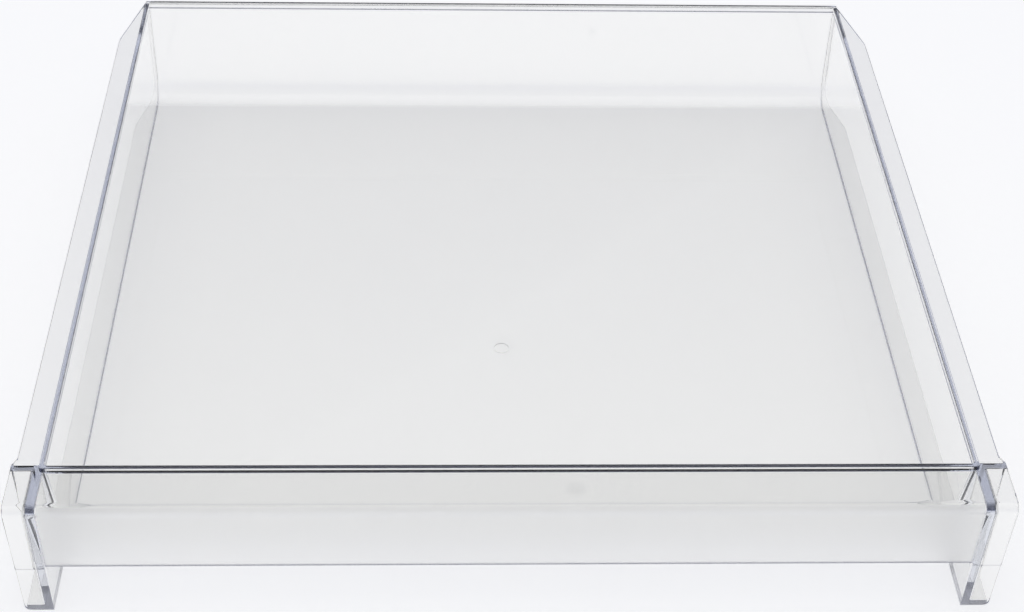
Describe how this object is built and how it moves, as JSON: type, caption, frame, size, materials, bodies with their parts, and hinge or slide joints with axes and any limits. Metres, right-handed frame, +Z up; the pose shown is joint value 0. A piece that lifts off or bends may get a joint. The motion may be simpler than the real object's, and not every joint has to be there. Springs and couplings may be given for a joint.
{
  "type": "freezer drawer",
  "caption": "Shallow clear moulded freezer drawer: open tray with a raised rim, side runner flanges, and a front ledge that turns down into a satin grip lip between eared legs.",
  "frame": {"origin": "centre of the bounding box in plan, on the base that the drawer stands on", "axes": "+Z up out of the open tray, -Y towards the front lip, X across the width"},
  "size_m": [0.4584, 0.4465, 0.0697],
  "materials": {
    "clear_plastic": "clear polystyrene, polished all over but for a satin grip lip"
  },
  "bodies": {
    "root": {"drawer_body": "clear_plastic"}
  },
  "joints": []
}
